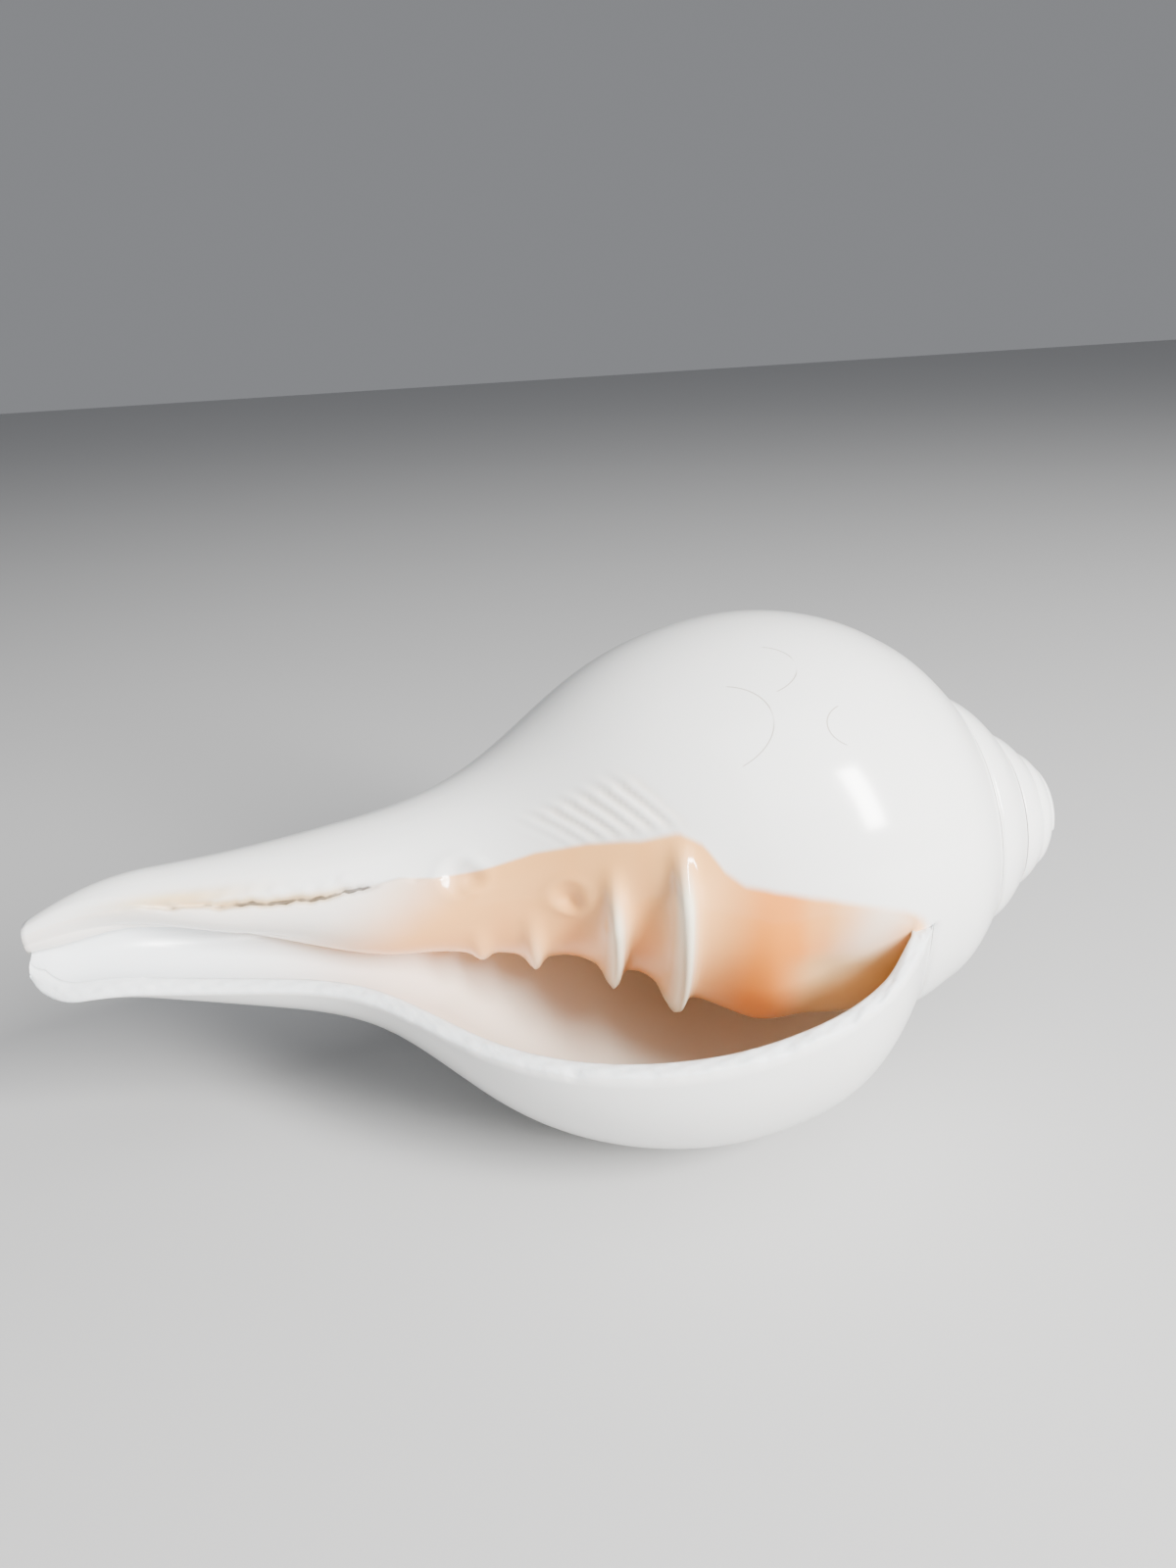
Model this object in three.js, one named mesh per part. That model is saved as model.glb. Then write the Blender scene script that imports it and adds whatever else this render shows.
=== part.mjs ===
// A chank shell: a heavy white sea shell, grown as one piece, lying on its last whorl with the mouth up.
import * as THREE from 'three';

// Growth, in mm and turns. The shape below is the newest turn, and every earlier turn is smaller.
const TURN = 2 * Math.PI;
const GROWTH = 1.5;
const EARLY_TURNS = 4;
const CANAL_STRETCH = 0.744;
const CANAL_WIDENING = 0.045;
const CANAL_SETTLES = { from: 125, over: 30 };

// Outline of the newest turn: distance from the apex along the axis, and radius.
const SUTURE = [29.9, 27.1];
const WIDEST = [59.5, 46.65];
const CANAL_END = 161.6;
const OUTLINE_END = [165, 11.2];
const OUTLINE = [
  SUTURE,
  [37.4, 34.9],
  [SUTURE[0] * GROWTH, SUTURE[1] * GROWTH],
  WIDEST,
  [86, 45.3],
  [101, 36.3],
  [115, 23],
  [130, 16],
  [148, 12.3],
  OUTLINE_END,
];
const SUTURE_DROP = 18.6;
const SUTURE_RISE = 10.5;
const SUTURE_GROOVE = 0.5;
const SUTURE_REACH = 0.95 * (WIDEST[0] - SUTURE[0]);
const WHORL_ROUNDING = 0.9;
const WORN_BEFORE = -2.4;
const APEX_ROUNDING = 5.7;
const APEX_WIDENING = { share: 0.6, reach: 8 };
const CANAL_BEND_START = 70;
const CANAL_BEND = { front: [13, 2.2], up: [-18.6, 27] };
const TIP_DROOP = { starts: 145, depth: 4.9 };

// The lip's edge, and the canal's end: long and round under the pillar, short and blunt at the lip.
const LIP_ANGLE = THREE.MathUtils.degToRad(-4);
const LIP_CURVE = [-0.73, 0.917, 0.305, -0.266, -1.448];
const NOSE = { length: 30, tip: 0.36, starts: 0.4, over: 2.4 };
const LIP_NOSE = { length: 7, bluntness: 0.5 };
const LIP_JOINS_OVER = 6;
const END_BULGE = 0.8;

// Wall, hollow and the pillar inside it.
const LIP_WALL = 2.2;
const INNER_WALL = 5.4;
const CANAL_WALL = { thickness: 2.8, from: 98, over: 26 };
const WALL_THICKENS_OVER = 0.9;
const THICKEST_SHARE = 0.45;
const THINNEST_GAP = 0.2;
const HOLLOW_DEPTH = { mouth: 5.2, canal: 2.1, changes: 78, over: 30, closes: 140 };
const END_SHARE = 0.88;
const HOLLOW_CLOSING = { mouth: 0.3, canal: 0.95, slower: 0.4, changes: 100, over: 20 };
const TURNED_IN = { before: 0.55, over: 1.1 };
const UNDERCUT = { share: 0.75, from: 110, over: 34 };
const TIP_OPENS = { by: 0.75, from: 132, over: 26 };
const TIP_FILLS = { share: 0.4, from: 148, over: 12 };
const FOLD_RECESS = { at: 73, depth: 3.3, width: 12 };
const FOLD_FADE = { from: 1.6, over: 1.4 };
const FOLD_BLADE = { share: 0.66, width: 0.58, sharpness: 2.2 };
const FOLD_BASE_WIDTH = 1.6;
const FOLDS = [
  { at: 70, height: 4.8, width: 2.3, starts: 0.6, over: 0.42 },
  { at: 79, height: 4.5, width: 2.1, starts: 0.5, over: 0.5 },
  { at: 90.5, height: 2.9, width: 2.2, starts: 0.15, over: 0.7 },
  { at: 98.5, height: 1.6, width: 2.3, starts: 0, over: 0.7 },
];

// How it lies, and how finely it is drawn.
const AXIS_RISE = THREE.MathUtils.degToRad(0.5);
const FOOT_FLAT = 1.2;
const COLUMNS = 48;
const SHOULDER_ROWS = 6;
const HOLLOW_COLUMNS = 18;
const MOUTH_ROWS = 7;
const FOLD_ROWS = [-1.8, -0.75, 0, 0.75, 1.8];
const CANAL_ROWS = 14;
const LOWEST_SHIFTED_ROW = 66;
const HALVINGS = 30;

function smooth(x) {
  const t = THREE.MathUtils.clamp(x, 0, 1);
  return t * t * (3 - 2 * t);
}

// A natural cubic spline through the outline's points.
function splineThrough(knots) {
  const bends = knots.map(() => 0);
  const work = knots.map(() => 0);
  for (let i = 1; i < knots.length - 1; i += 1) {
    const [x0, y0] = knots[i - 1];
    const [x1, y1] = knots[i];
    const [x2, y2] = knots[i + 1];
    const share = (x1 - x0) / (x2 - x0);
    const pivot = share * bends[i - 1] + 2;
    const turn = (y2 - y1) / (x2 - x1) - (y1 - y0) / (x1 - x0);
    work[i] = (6 * turn / (x2 - x0) - share * work[i - 1]) / pivot;
    bends[i] = (share - 1) / pivot;
  }
  for (let i = knots.length - 2; i > 0; i -= 1) bends[i] = bends[i] * bends[i + 1] + work[i];
  bends[0] = 0;
  return (x) => {
    let i = 0;
    while (i < knots.length - 2 && x > knots[i + 1][0]) i += 1;
    const [x0, y0] = knots[i];
    const [x1, y1] = knots[i + 1];
    const h = x1 - x0;
    const b = (x - x0) / h;
    const a = 1 - b;
    return a * y0 + b * y1 + ((a ** 3 - a) * bends[i] + (b ** 3 - b) * bends[i + 1]) * h * h / 6;
  };
}
const outlineRadius = splineThrough(OUTLINE);

// Along the axis and out from it, at growth angle phi (0 at the lip, negative before it).
function grown(phi, along) {
  const canal = smooth((along - WIDEST[0]) / (OUTLINE_END[0] - WIDEST[0]));
  const turns = phi / TURN;
  const settled = smooth((along - CANAL_SETTLES.from) / CANAL_SETTLES.over);
  const reach = turns * (1 - canal + canal * (1 - CANAL_STRETCH) * (1 - settled));
  const intoNose = THREE.MathUtils.clamp((along - CANAL_END) / NOSE.length + 1, 0, 1);
  const intoLip = THREE.MathUtils.clamp((along - CANAL_END) / LIP_NOSE.length + 1, 0, 1);
  const back = smooth((-phi - NOSE.starts) / NOSE.over);
  const nose = back * (1 - intoNose ** 2) + (1 - back) * (1 - intoLip ** 2) ** LIP_NOSE.bluntness;
  const rounded = NOSE.tip + (1 - NOSE.tip) * nose;
  const radius = outlineRadius(along) * GROWTH ** (turns * (1 - canal * CANAL_WIDENING)) * rounded;
  return [along * GROWTH ** reach, radius];
}

function sutureDrop(phi) {
  const lastTurn = THREE.MathUtils.clamp(phi / TURN + 1, 0, 1);
  return SUTURE_DROP * lastTurn ** 2 - SUTURE_RISE * lastTurn ** 6;
}

// How clear the whorls' sutures are: they are worn off near the apex.
function crisp(phi) {
  return smooth(phi / TURN - WORN_BEFORE + 1);
}

// The same with the last turn's suture sliding down the turn before it, and round early whorls.
function skin(phi, along) {
  const [z, r] = grown(phi, along);
  const [sutureZ, sutureR] = grown(phi, SUTURE[0]);
  const [onZ, onR] = grown(phi - TURN, SUTURE[0] * GROWTH + sutureDrop(phi));
  const reach = Math.max(0, 1 - (along - SUTURE[0]) / SUTURE_REACH) ** 1.5;
  const across = THREE.MathUtils.clamp((along - SUTURE[0]) / (SUTURE[0] * (GROWTH - 1)), 0, 1);
  const early = smooth(-2 * phi / TURN - 1) * crisp(phi) * GROWTH ** (phi / TURN);
  const rounding = WHORL_ROUNDING * early * Math.sin(Math.PI * across);
  return [z + reach * (onZ - sutureZ), r + reach * (onR - sutureR) + rounding];
}

function alongAt(phi, z) {
  let low = SUTURE[0];
  let high = CANAL_END;
  for (let i = 0; i < HALVINGS; i += 1) {
    const middle = (low + high) / 2;
    if (skin(phi, middle)[0] < z) low = middle;
    else high = middle;
  }
  return (low + high) / 2;
}

function skinRadius(phi, z) {
  return skin(phi, alongAt(phi, z))[1];
}

function lipShift(along) {
  const x = (along - SUTURE[0]) / (OUTLINE_END[0] - SUTURE[0]);
  return LIP_CURVE.reduce((sum, c, i) => sum + c * x ** (i + 1), 0);
}

// What the pillar takes from the turn that it grew on: a recess at the folds, and the canal's hollow side.
function hollowedRadius(phi, z, radius) {
  const opened = TIP_OPENS.by * smooth((z - TIP_OPENS.from) / TIP_OPENS.over);
  const turnedIn = smooth((-phi - TURN + TURNED_IN.before + opened) / TURNED_IN.over);
  const filled = TIP_FILLS.share * smooth((z - TIP_FILLS.from) / TIP_FILLS.over);
  const canal = smooth((z - UNDERCUT.from) / UNDERCUT.over) * (1 - filled);
  const recess = FOLD_RECESS.depth * Math.exp(-(((z - FOLD_RECESS.at) / FOLD_RECESS.width) ** 2));
  return radius * (1 - UNDERCUT.share * canal * turnedIn) - recess * turnedIn;
}

// The folds that wind round the pillar.
function pillarRadius(phi, z, radius) {
  const inward = -phi - TURN;
  return FOLDS.reduce((sum, fold) => {
    const x = Math.abs(z - fold.at) / fold.width;
    const blade = FOLD_BLADE.share * Math.exp(-((x / FOLD_BLADE.width) ** FOLD_BLADE.sharpness));
    const base = (1 - FOLD_BLADE.share) * Math.exp(-((x / FOLD_BASE_WIDTH) ** 2));
    const rise = smooth((inward + fold.starts) / fold.over);
    const fade = smooth((inward - FOLD_FADE.from) / FOLD_FADE.over);
    return sum + fold.height * (blade + base) * rise * (1 - fade);
  }, hollowedRadius(phi, z, radius));
}

// From distance along the axis, radius and growth angle to the resting shell.
function place(phi, z, radius) {
  const r = radius * (1 + APEX_WIDENING.share * Math.exp(-((z / APEX_WIDENING.reach) ** 2)));
  const rounded = Math.hypot(z, APEX_ROUNDING) - APEX_ROUNDING;
  const x = THREE.MathUtils.clamp((z - CANAL_BEND_START) / (OUTLINE_END[0] - CANAL_BEND_START), 0, 1.2);
  const droop = Math.max(0, (z - TIP_DROOP.starts) / (CANAL_END - TIP_DROOP.starts));
  const front = r * Math.cos(LIP_ANGLE + phi) + CANAL_BEND.front[0] * x ** 2 + CANAL_BEND.front[1] * x ** 3;
  const up = r * Math.sin(LIP_ANGLE + phi) + CANAL_BEND.up[0] * x ** 2 + CANAL_BEND.up[1] * x ** 3
    - TIP_DROOP.depth * droop ** 2;
  return new THREE.Vector3(
    -rounded * Math.cos(AXIS_RISE) - up * Math.sin(AXIS_RISE),
    -front,
    up * Math.cos(AXIS_RISE) - rounded * Math.sin(AXIS_RISE),
  );
}

const points = [];
const faces = [];

function addPoint(phi, z, r) {
  points.push(place(phi, z, r));
  return points.length - 1;
}

function face(a, b, c) {
  if (a !== b && b !== c && c !== a) faces.push([a, c, b]);
}

// Two neighbouring columns of points, joined by triangles along their shorter diagonals.
function joinColumns(left, right) {
  let i = 0;
  let j = 0;
  while (i < left.length - 1 || j < right.length - 1) {
    const canLeft = i < left.length - 1;
    const canRight = j < right.length - 1;
    const stepLeft = canLeft ? points[left[i + 1]].distanceTo(points[right[j]]) : Infinity;
    const stepRight = canRight ? points[left[i]].distanceTo(points[right[j + 1]]) : Infinity;
    if (stepLeft <= stepRight) {
      face(left[i], left[i + 1], right[j]);
      i += 1;
    } else {
      face(left[i], right[j + 1], right[j]);
      j += 1;
    }
  }
}

// The spire: one strip wound round the axis, each turn sharing its suture with the next.
const spire = [];
const firstAngle = -TURN * (EARLY_TURNS + 1);
const spireColumns = COLUMNS * EARLY_TURNS;
for (let c = 0; c <= spireColumns; c += 1) {
  const phi = firstAngle + TURN * c / COLUMNS;
  const low = SUTURE[0] * GROWTH + sutureDrop(phi + TURN);
  const column = [];
  for (let i = 0; i <= SHOULDER_ROWS; i += 1) {
    if (i === 0 && c >= COLUMNS) {
      column.push(spire[c - COLUMNS][SHOULDER_ROWS]);
    } else {
      const along = SUTURE[0] + (low - SUTURE[0]) * i / SHOULDER_ROWS;
      const [z, r] = skin(phi, along);
      const groove = i === SHOULDER_ROWS ? SUTURE_GROOVE * crisp(phi) * GROWTH ** (phi / TURN + 1) : 0;
      column.push(addPoint(phi, z, r - groove));
    }
  }
  spire.push(column);
}

// The hollow's top edge, where wall and pillar meet, and the height of each of its rows.
function wallAt(phi, z) {
  const inwards = smooth(-phi / WALL_THICKENS_OVER);
  const canal = smooth((z - CANAL_WALL.from) / CANAL_WALL.over);
  const inner = INNER_WALL + (CANAL_WALL.thickness - INNER_WALL) * canal;
  const wall = LIP_WALL + (inner - LIP_WALL) * inwards;
  const slope = skinRadius(phi, z + 0.5) - skinRadius(phi, z - 0.5);
  return wall * Math.hypot(1, slope);
}

function naturalGap(phi, z) {
  return skinRadius(phi, z) - wallAt(phi, z) - skinRadius(phi - TURN, z);
}

function hollowTop(phi) {
  let low = skin(phi, SUTURE[0])[0];
  let high = skin(phi, WIDEST[0])[0];
  for (let i = 0; i < HALVINGS; i += 1) {
    const middle = (low + high) / 2;
    if (naturalGap(phi, middle) < 0) low = middle;
    else high = middle;
  }
  return high;
}

// Rows across each fold, even ones above them, and ones that close up towards the canal's end.
const topAtLip = hollowTop(0);
const pillarEnd = skin(-TURN, CANAL_END)[0];
const rowHeights = [];
const foldRows = FOLDS.flatMap((fold) => FOLD_ROWS.map((step) => fold.at + step * fold.width))
  .filter((z, i, rows) => i === 0 || z - rows[i - 1] > 1);
const lowestFoldRow = foldRows[foldRows.length - 1];
for (let i = 0; i < MOUTH_ROWS; i += 1) {
  rowHeights.push(topAtLip + (foldRows[0] - topAtLip) * i / MOUTH_ROWS);
}
rowHeights.push(...foldRows);
for (let i = 1; i <= CANAL_ROWS; i += 1) {
  rowHeights.push(pillarEnd - (pillarEnd - lowestFoldRow) * (1 - i / CANAL_ROWS) ** 1.4);
}
const lastRow = rowHeights.length - 1;

function rowHeight(k, phi) {
  const z = rowHeights[k];
  const shift = 1 - smooth((z - topAtLip) / (LOWEST_SHIFTED_ROW - topAtLip));
  return z + (hollowTop(phi) - topAtLip) * shift;
}

// The body: the last turn, whose first column carries on into the hollow.
const body = [];
const startRows = rowHeights.map((z) => alongAt(-TURN, z));
for (let c = 0; c <= COLUMNS; c += 1) {
  const v = c / COLUMNS;
  const column = [];
  const phiAt = (along) => -TURN * (1 - v) + lipShift(along) * v;
  const low = SUTURE[0] * GROWTH + sutureDrop(0);
  for (let i = 0; i <= SHOULDER_ROWS; i += 1) {
    const along = SUTURE[0] + (low - SUTURE[0]) * i / SHOULDER_ROWS;
    if (c === 0) column.push(spire[spireColumns][i]);
    else if (i === 0) column.push(spire[spireColumns - COLUMNS + c][SHOULDER_ROWS]);
    else column.push(addPoint(phiAt(along), ...skin(phiAt(along), along)));
  }
  for (const along of startRows) {
    const phi = phiAt(along);
    const [z, r] = skin(phi, along);
    column.push(addPoint(phi, z, pillarRadius(phi, z, r)));
  }
  body.push(column);
}

// The pillar's side of the hollow, then the wall's side, sharing their deep ends and top edges.
const endColumn = Math.round(COLUMNS * END_SHARE);
const endShare = endColumn / COLUMNS;
const endDepth = TURN * (1 - endShare) - lipShift(CANAL_END) * endShare;

function depthOf(z) {
  const canal = smooth((z - HOLLOW_DEPTH.changes) / HOLLOW_DEPTH.over);
  const depth = HOLLOW_DEPTH.mouth + (HOLLOW_DEPTH.canal - HOLLOW_DEPTH.mouth) * canal;
  return depth + (endDepth - depth) * smooth((z - HOLLOW_DEPTH.closes) / (pillarEnd - HOLLOW_DEPTH.closes));
}

// How open the hollow is, from its rounded deep end (share 0) to the lip (share 1).
function opening(z, share) {
  const canal = smooth((z - HOLLOW_CLOSING.changes) / HOLLOW_CLOSING.over);
  const closing = HOLLOW_CLOSING.mouth + (HOLLOW_CLOSING.canal - HOLLOW_CLOSING.mouth) * canal;
  return (1 - (1 - Math.min(1, share / closing)) ** 2) ** (0.5 + HOLLOW_CLOSING.slower * canal);
}

const pillar = [];
const wall = [];
for (let j = 0; j <= HOLLOW_COLUMNS; j += 1) {
  const w = j / HOLLOW_COLUMNS;
  const pillarColumn = [];
  const wallColumn = [];
  for (let k = 0; k <= lastRow; k += 1) {
    const depth = depthOf(rowHeights[k]);
    const inward = depth * (1 - w);
    const z = rowHeight(k, -inward);
    const pillarPhi = -TURN - inward;
    const pillarPoint = j === HOLLOW_COLUMNS
      ? body[0][SHOULDER_ROWS + 1 + k]
      : addPoint(pillarPhi, z, pillarRadius(pillarPhi, z, skinRadius(pillarPhi, z)));
    pillarColumn.push(pillarPoint);
    if (j === 0 || k === 0) {
      wallColumn.push(pillarPoint);
    } else {
      const lip = lipShift(z) * smooth((z - topAtLip) / LIP_JOINS_OVER);
      const phi = -inward + lip * w;
      const outer = skinRadius(phi, z);
      const thick = Math.min(wallAt(phi, z), outer * THICKEST_SHARE);
      const floor = hollowedRadius(-TURN - inward, z, skinRadius(phi - TURN, Math.min(z, pillarEnd)));
      const gap = Math.max(outer - thick - floor, THINNEST_GAP);
      wallColumn.push(addPoint(phi, z, floor + gap * opening(z, w)));
    }
  }
  pillar.push(pillarColumn);
  wall.push(wallColumn);
}

for (let c = 0; c < spireColumns; c += 1) joinColumns(spire[c], spire[c + 1]);
for (let c = 0; c < COLUMNS; c += 1) joinColumns(body[c], body[c + 1]);
for (let j = 0; j < HOLLOW_COLUMNS; j += 1) {
  joinColumns(pillar[j], pillar[j + 1]);
  joinColumns(wall[j + 1], wall[j]);
}

// The lip's edge, from the suture down to the canal and round its end.
const lipOutside = [...body[COLUMNS]];
const lipInside = wall[HOLLOW_COLUMNS].slice();
for (let c = COLUMNS - 1; c >= endColumn; c -= 1) lipOutside.push(body[c][body[c].length - 1]);
for (let j = HOLLOW_COLUMNS - 1; j >= 0; j -= 1) lipInside.push(wall[j][lastRow]);
joinColumns(lipOutside, lipInside);

// The pillar's blunt end, and the apex.
const endRing = [];
for (let j = 0; j < HOLLOW_COLUMNS; j += 1) endRing.push(pillar[j][lastRow]);
for (let c = 0; c <= endColumn; c += 1) endRing.push(body[c][body[c].length - 1]);
const endPoint = addPoint(0, pillarEnd + END_BULGE, 0);
endRing.forEach((point, i) => face(endPoint, endRing[(i + 1) % endRing.length], point));

const apex = addPoint(0, 0, 0);
const apexRing = [...spire[0]].reverse();
for (let c = 1; c <= COLUMNS; c += 1) apexRing.push(spire[c][0]);
for (let i = 0; i < apexRing.length - 1; i += 1) face(apex, apexRing[i], apexRing[i + 1]);

// It rests on a small worn flat under the last whorl.
const ground = Math.min(...points.map((p) => p.z)) + FOOT_FLAT;
const box = new THREE.Box3().setFromPoints(points);
const middle = box.getCenter(new THREE.Vector3());
for (const p of points) p.set(p.x - middle.x, p.y - middle.y, Math.max(p.z, ground) - ground);

// Where two sheets meet in a corner they can share a whole triangle, which then holds nothing.
const corners = faces.map((f) => [...f].sort((a, b) => a - b).join());
const solidFaces = faces.filter((f, i) => corners.indexOf(corners[i]) === corners.lastIndexOf(corners[i]));

const geometry = new THREE.BufferGeometry();
geometry.setAttribute('position', new THREE.Float32BufferAttribute(points.flatMap((p) => p.toArray()), 3));
geometry.setIndex(solidFaces.flat());
geometry.computeVertexNormals();

const polishedShell = new THREE.MeshStandardMaterial({ color: 0xf1efec, roughness: 0.22, metalness: 0 });
const shell = new THREE.Mesh(geometry, polishedShell);
shell.name = 'shell';

const group = new THREE.Group();
group.add(shell);

export default group;
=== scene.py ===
# A chank shell: a heavy white sea shell with a peach pillar, lying on its last whorl with the mouth up.
import math

import bpy
import numpy as np
from mathutils import Matrix, Vector


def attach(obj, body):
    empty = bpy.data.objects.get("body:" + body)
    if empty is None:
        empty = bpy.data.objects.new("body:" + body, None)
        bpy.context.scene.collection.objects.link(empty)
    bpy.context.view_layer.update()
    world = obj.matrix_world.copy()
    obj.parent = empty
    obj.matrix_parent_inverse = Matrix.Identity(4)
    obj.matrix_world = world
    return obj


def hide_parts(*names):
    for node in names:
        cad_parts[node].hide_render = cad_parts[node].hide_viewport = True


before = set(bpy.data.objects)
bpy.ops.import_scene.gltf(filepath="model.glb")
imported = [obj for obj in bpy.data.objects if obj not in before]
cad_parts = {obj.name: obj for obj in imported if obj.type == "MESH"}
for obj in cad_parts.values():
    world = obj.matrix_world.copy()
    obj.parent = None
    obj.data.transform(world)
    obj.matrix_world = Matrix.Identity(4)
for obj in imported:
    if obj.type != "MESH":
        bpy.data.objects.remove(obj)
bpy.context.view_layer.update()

# Growth, in mm and turns. The shape below is the newest turn, and every earlier turn is smaller.
MM = 0.001
TURN = 2 * math.pi
GROWTH = 1.5
EARLY_TURNS = 4
CANAL_STRETCH = 0.744
CANAL_WIDENING = 0.045
CANAL_SETTLES_FROM = 125
CANAL_SETTLES_OVER = 30

# Outline of the newest turn: distance from the apex along the axis, and radius.
SUTURE = (29.9, 27.1)
WIDEST = (59.5, 46.65)
CANAL_END = 161.6
OUTLINE_END = (165, 11.2)
OUTLINE = [
    SUTURE,
    (37.4, 34.9),
    (SUTURE[0] * GROWTH, SUTURE[1] * GROWTH),
    WIDEST,
    (86, 45.3),
    (101, 36.3),
    (115, 23),
    (130, 16),
    (148, 12.3),
    OUTLINE_END,
]
SUTURE_DROP = 18.6
SUTURE_RISE = 10.5
SUTURE_REACH = 0.95 * (WIDEST[0] - SUTURE[0])
SUTURE_GROOVE = 0.5
SUTURE_GROOVE_WIDTH = 0.7
APEX_ROUNDING = 5.7
WHORL_ROUNDING = 0.9
WORN_BEFORE = -2.4
APEX_WIDENING = 0.6
APEX_WIDENING_REACH = 8
CANAL_BEND_START = 70
CANAL_BEND_FRONT = (13, 2.2)
CANAL_BEND_UP = (-18.6, 27)
TIP_DROOP_STARTS = 145
TIP_DROOP = 4.9

# The lip's edge, and the canal's end: long and round under the pillar, short and blunt at the lip. LIP_CURVE
# has the coefficients of a polynomial in the share of the way along the axis, from the first power up. It
# gives an angle in radians.
LIP_ANGLE = math.radians(-4)
LIP_CURVE = (-0.73, 0.917, 0.305, -0.266, -1.448)
NOSE_LENGTH = 30
NOSE_TIP = 0.36
NOSE_STARTS = 0.4
NOSE_OVER = 2.4
LIP_NOSE_LENGTH = 7
LIP_NOSE_BLUNTNESS = 0.5
END_BULGE = 0.8

# Wall, hollow and the pillar inside it.
LIP_WALL = 2.2
INNER_WALL = 5.4
CANAL_WALL = 2.8
CANAL_WALL_FROM = 98
CANAL_WALL_OVER = 26
WALL_THICKENS_OVER = 0.9
THICKEST_SHARE = 0.45
THINNEST_GAP = 0.2
HOLLOW_DEPTH = 5.2
CANAL_DEPTH = 2.1
TURNED_IN_BEFORE = 0.55
TURNED_IN_OVER = 1.1
TIP_OPENS = 0.75
TIP_OPENS_FROM = 132
TIP_OPENS_OVER = 26
TIP_FILLS = 0.4
TIP_FILLS_FROM = 148
TIP_FILLS_OVER = 12
UNDERCUT = 0.75
UNDERCUT_FROM = 110
UNDERCUT_OVER = 34
RECESS_AT = 73
RECESS_DEPTH = 3.3
RECESS_WIDTH = 12

# The folds on the pillar: place along the axis, height, width, how far ahead of the mouth each starts,
# and the angle over which it rises.
FOLDS = [
    (70, 4.8, 2.3, 0.6, 0.42),
    (79, 4.5, 2.1, 0.5, 0.5),
    (90.5, 2.9, 2.2, 0.15, 0.7),
    (98.5, 1.6, 2.3, 0.0, 0.7),
]
FOLD_BLADE_SHARE = 0.66
FOLD_BLADE_WIDTH = 0.58
FOLD_BLADE_SHARPNESS = 2.2
FOLD_BASE_WIDTH = 1.6
FOLD_FADES_FROM = 1.6
FOLD_FADES_OVER = 1.4

# How it lies.
AXIS_RISE = math.radians(0.5)
FOOT_FLAT = 1.2

# How finely each sheet of the shell is drawn.
FRONT_COLUMNS = 84
BACK_COLUMNS = 106
FRONT_SHARE = 0.2
SHOULDER_ROWS = 18
CORNER_ROWS = 10
HOLLOW_ROWS = 180
HOLLOW_COLUMNS = 64
RIM_STEPS = 8
CAP_ROWS = 8
TOP_ANGLES = 40
HALVINGS = 26


def smooth(x):
    t = np.clip(x, 0, 1)
    return t * t * (3 - 2 * t)


def spline_through(knots):
    """A natural cubic spline through the outline's points."""
    x, y = np.array(knots, float).T
    step = np.diff(x)
    last = len(x) - 1
    matrix = np.eye(last + 1)
    curving = np.zeros(last + 1)
    for i in range(1, last):
        matrix[i, i - 1:i + 2] = step[i - 1], 2 * (step[i - 1] + step[i]), step[i]
        curving[i] = 6 * ((y[i + 1] - y[i]) / step[i] - (y[i] - y[i - 1]) / step[i - 1])
    bends = np.linalg.solve(matrix, curving)

    def at(along):
        i = np.clip(np.searchsorted(x, along) - 1, 0, last - 1)
        b = (along - x[i]) / step[i]
        a = 1 - b
        curved = (a**3 - a) * bends[i] + (b**3 - b) * bends[i + 1]
        return a * y[i] + b * y[i + 1] + curved * step[i] ** 2 / 6

    return at


outline_radius = spline_through(OUTLINE)


def grown(phi, along):
    """Along the axis and out from it, at growth angle phi (0 at the lip, negative before it)."""
    phi, along = np.broadcast_arrays(np.asarray(phi, float), np.asarray(along, float))
    canal = smooth((along - WIDEST[0]) / (OUTLINE_END[0] - WIDEST[0]))
    turns = phi / TURN
    settled = smooth((along - CANAL_SETTLES_FROM) / CANAL_SETTLES_OVER)
    reach = turns * (1 - canal + canal * (1 - CANAL_STRETCH) * (1 - settled))
    into_nose = np.clip((along - CANAL_END) / NOSE_LENGTH + 1, 0, 1)
    into_lip = np.clip((along - CANAL_END) / LIP_NOSE_LENGTH + 1, 0, 1)
    back = smooth((-phi - NOSE_STARTS) / NOSE_OVER)
    nose = back * (1 - into_nose**2) + (1 - back) * (1 - into_lip**2) ** LIP_NOSE_BLUNTNESS
    rounded = NOSE_TIP + (1 - NOSE_TIP) * nose
    radius = outline_radius(along) * GROWTH ** (turns * (1 - canal * CANAL_WIDENING)) * rounded
    return along * GROWTH**reach, radius


def suture_drop(phi):
    last_turn = np.clip(phi / TURN + 1, 0, 1)
    return SUTURE_DROP * last_turn**2 - SUTURE_RISE * last_turn**6


def crisp(phi):
    """How clear the whorls' sutures are: they are worn off near the apex."""
    return smooth(phi / TURN - WORN_BEFORE + 1)


def skin(phi, along):
    """The same with the last turn's suture sliding down the turn before it, and round early whorls."""
    z, r = grown(phi, along)
    suture_z, suture_r = grown(phi, SUTURE[0])
    on_z, on_r = grown(phi - TURN, SUTURE[0] * GROWTH + suture_drop(phi))
    reach = np.maximum(0, 1 - (along - SUTURE[0]) / SUTURE_REACH) ** 1.5
    across = np.clip((along - SUTURE[0]) / (SUTURE[0] * (GROWTH - 1)), 0, 1)
    early = smooth(-2 * phi / TURN - 1) * GROWTH ** (phi / TURN)
    rounding = WHORL_ROUNDING * early * crisp(phi) * np.sin(math.pi * across)
    return z + reach * (on_z - suture_z), r + reach * (on_r - suture_r) + rounding


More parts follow.
